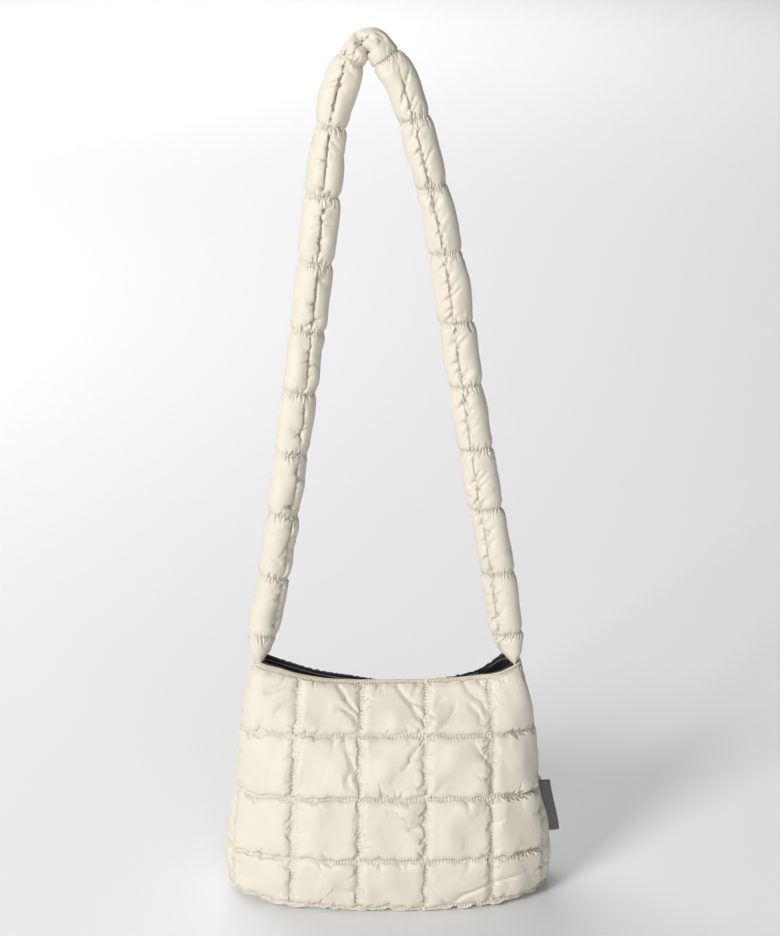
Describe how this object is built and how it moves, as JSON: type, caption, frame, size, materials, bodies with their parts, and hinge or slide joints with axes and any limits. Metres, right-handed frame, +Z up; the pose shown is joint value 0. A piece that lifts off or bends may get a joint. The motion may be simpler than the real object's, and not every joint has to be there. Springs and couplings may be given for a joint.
{
  "type": "quilted padded shoulder bag",
  "caption": "Small quilted, padded shoulder bag with a curved rim, oval base and dark lining, carried by a long padded tubular strap pinched by cross stitches.",
  "frame": {"origin": "the point under the top of the strap where it hangs", "axes": "+Z up along the hanging bag, +X to the right as the front is seen, front towards -Y"},
  "size_m": [0.2836, 0.1264, 0.7153],
  "materials": {
    "shell": "cream nylon with a soft sheen, quilted over padding",
    "lining": "black woven lining with a slight sheen",
    "label": "grey woven label, bare"
  },
  "bodies": {
    "root": {"front_panel": "shell", "back_panel": "shell", "base_panel": "shell", "strap": "shell", "lining": "lining", "side_label": "label"}
  },
  "joints": []
}
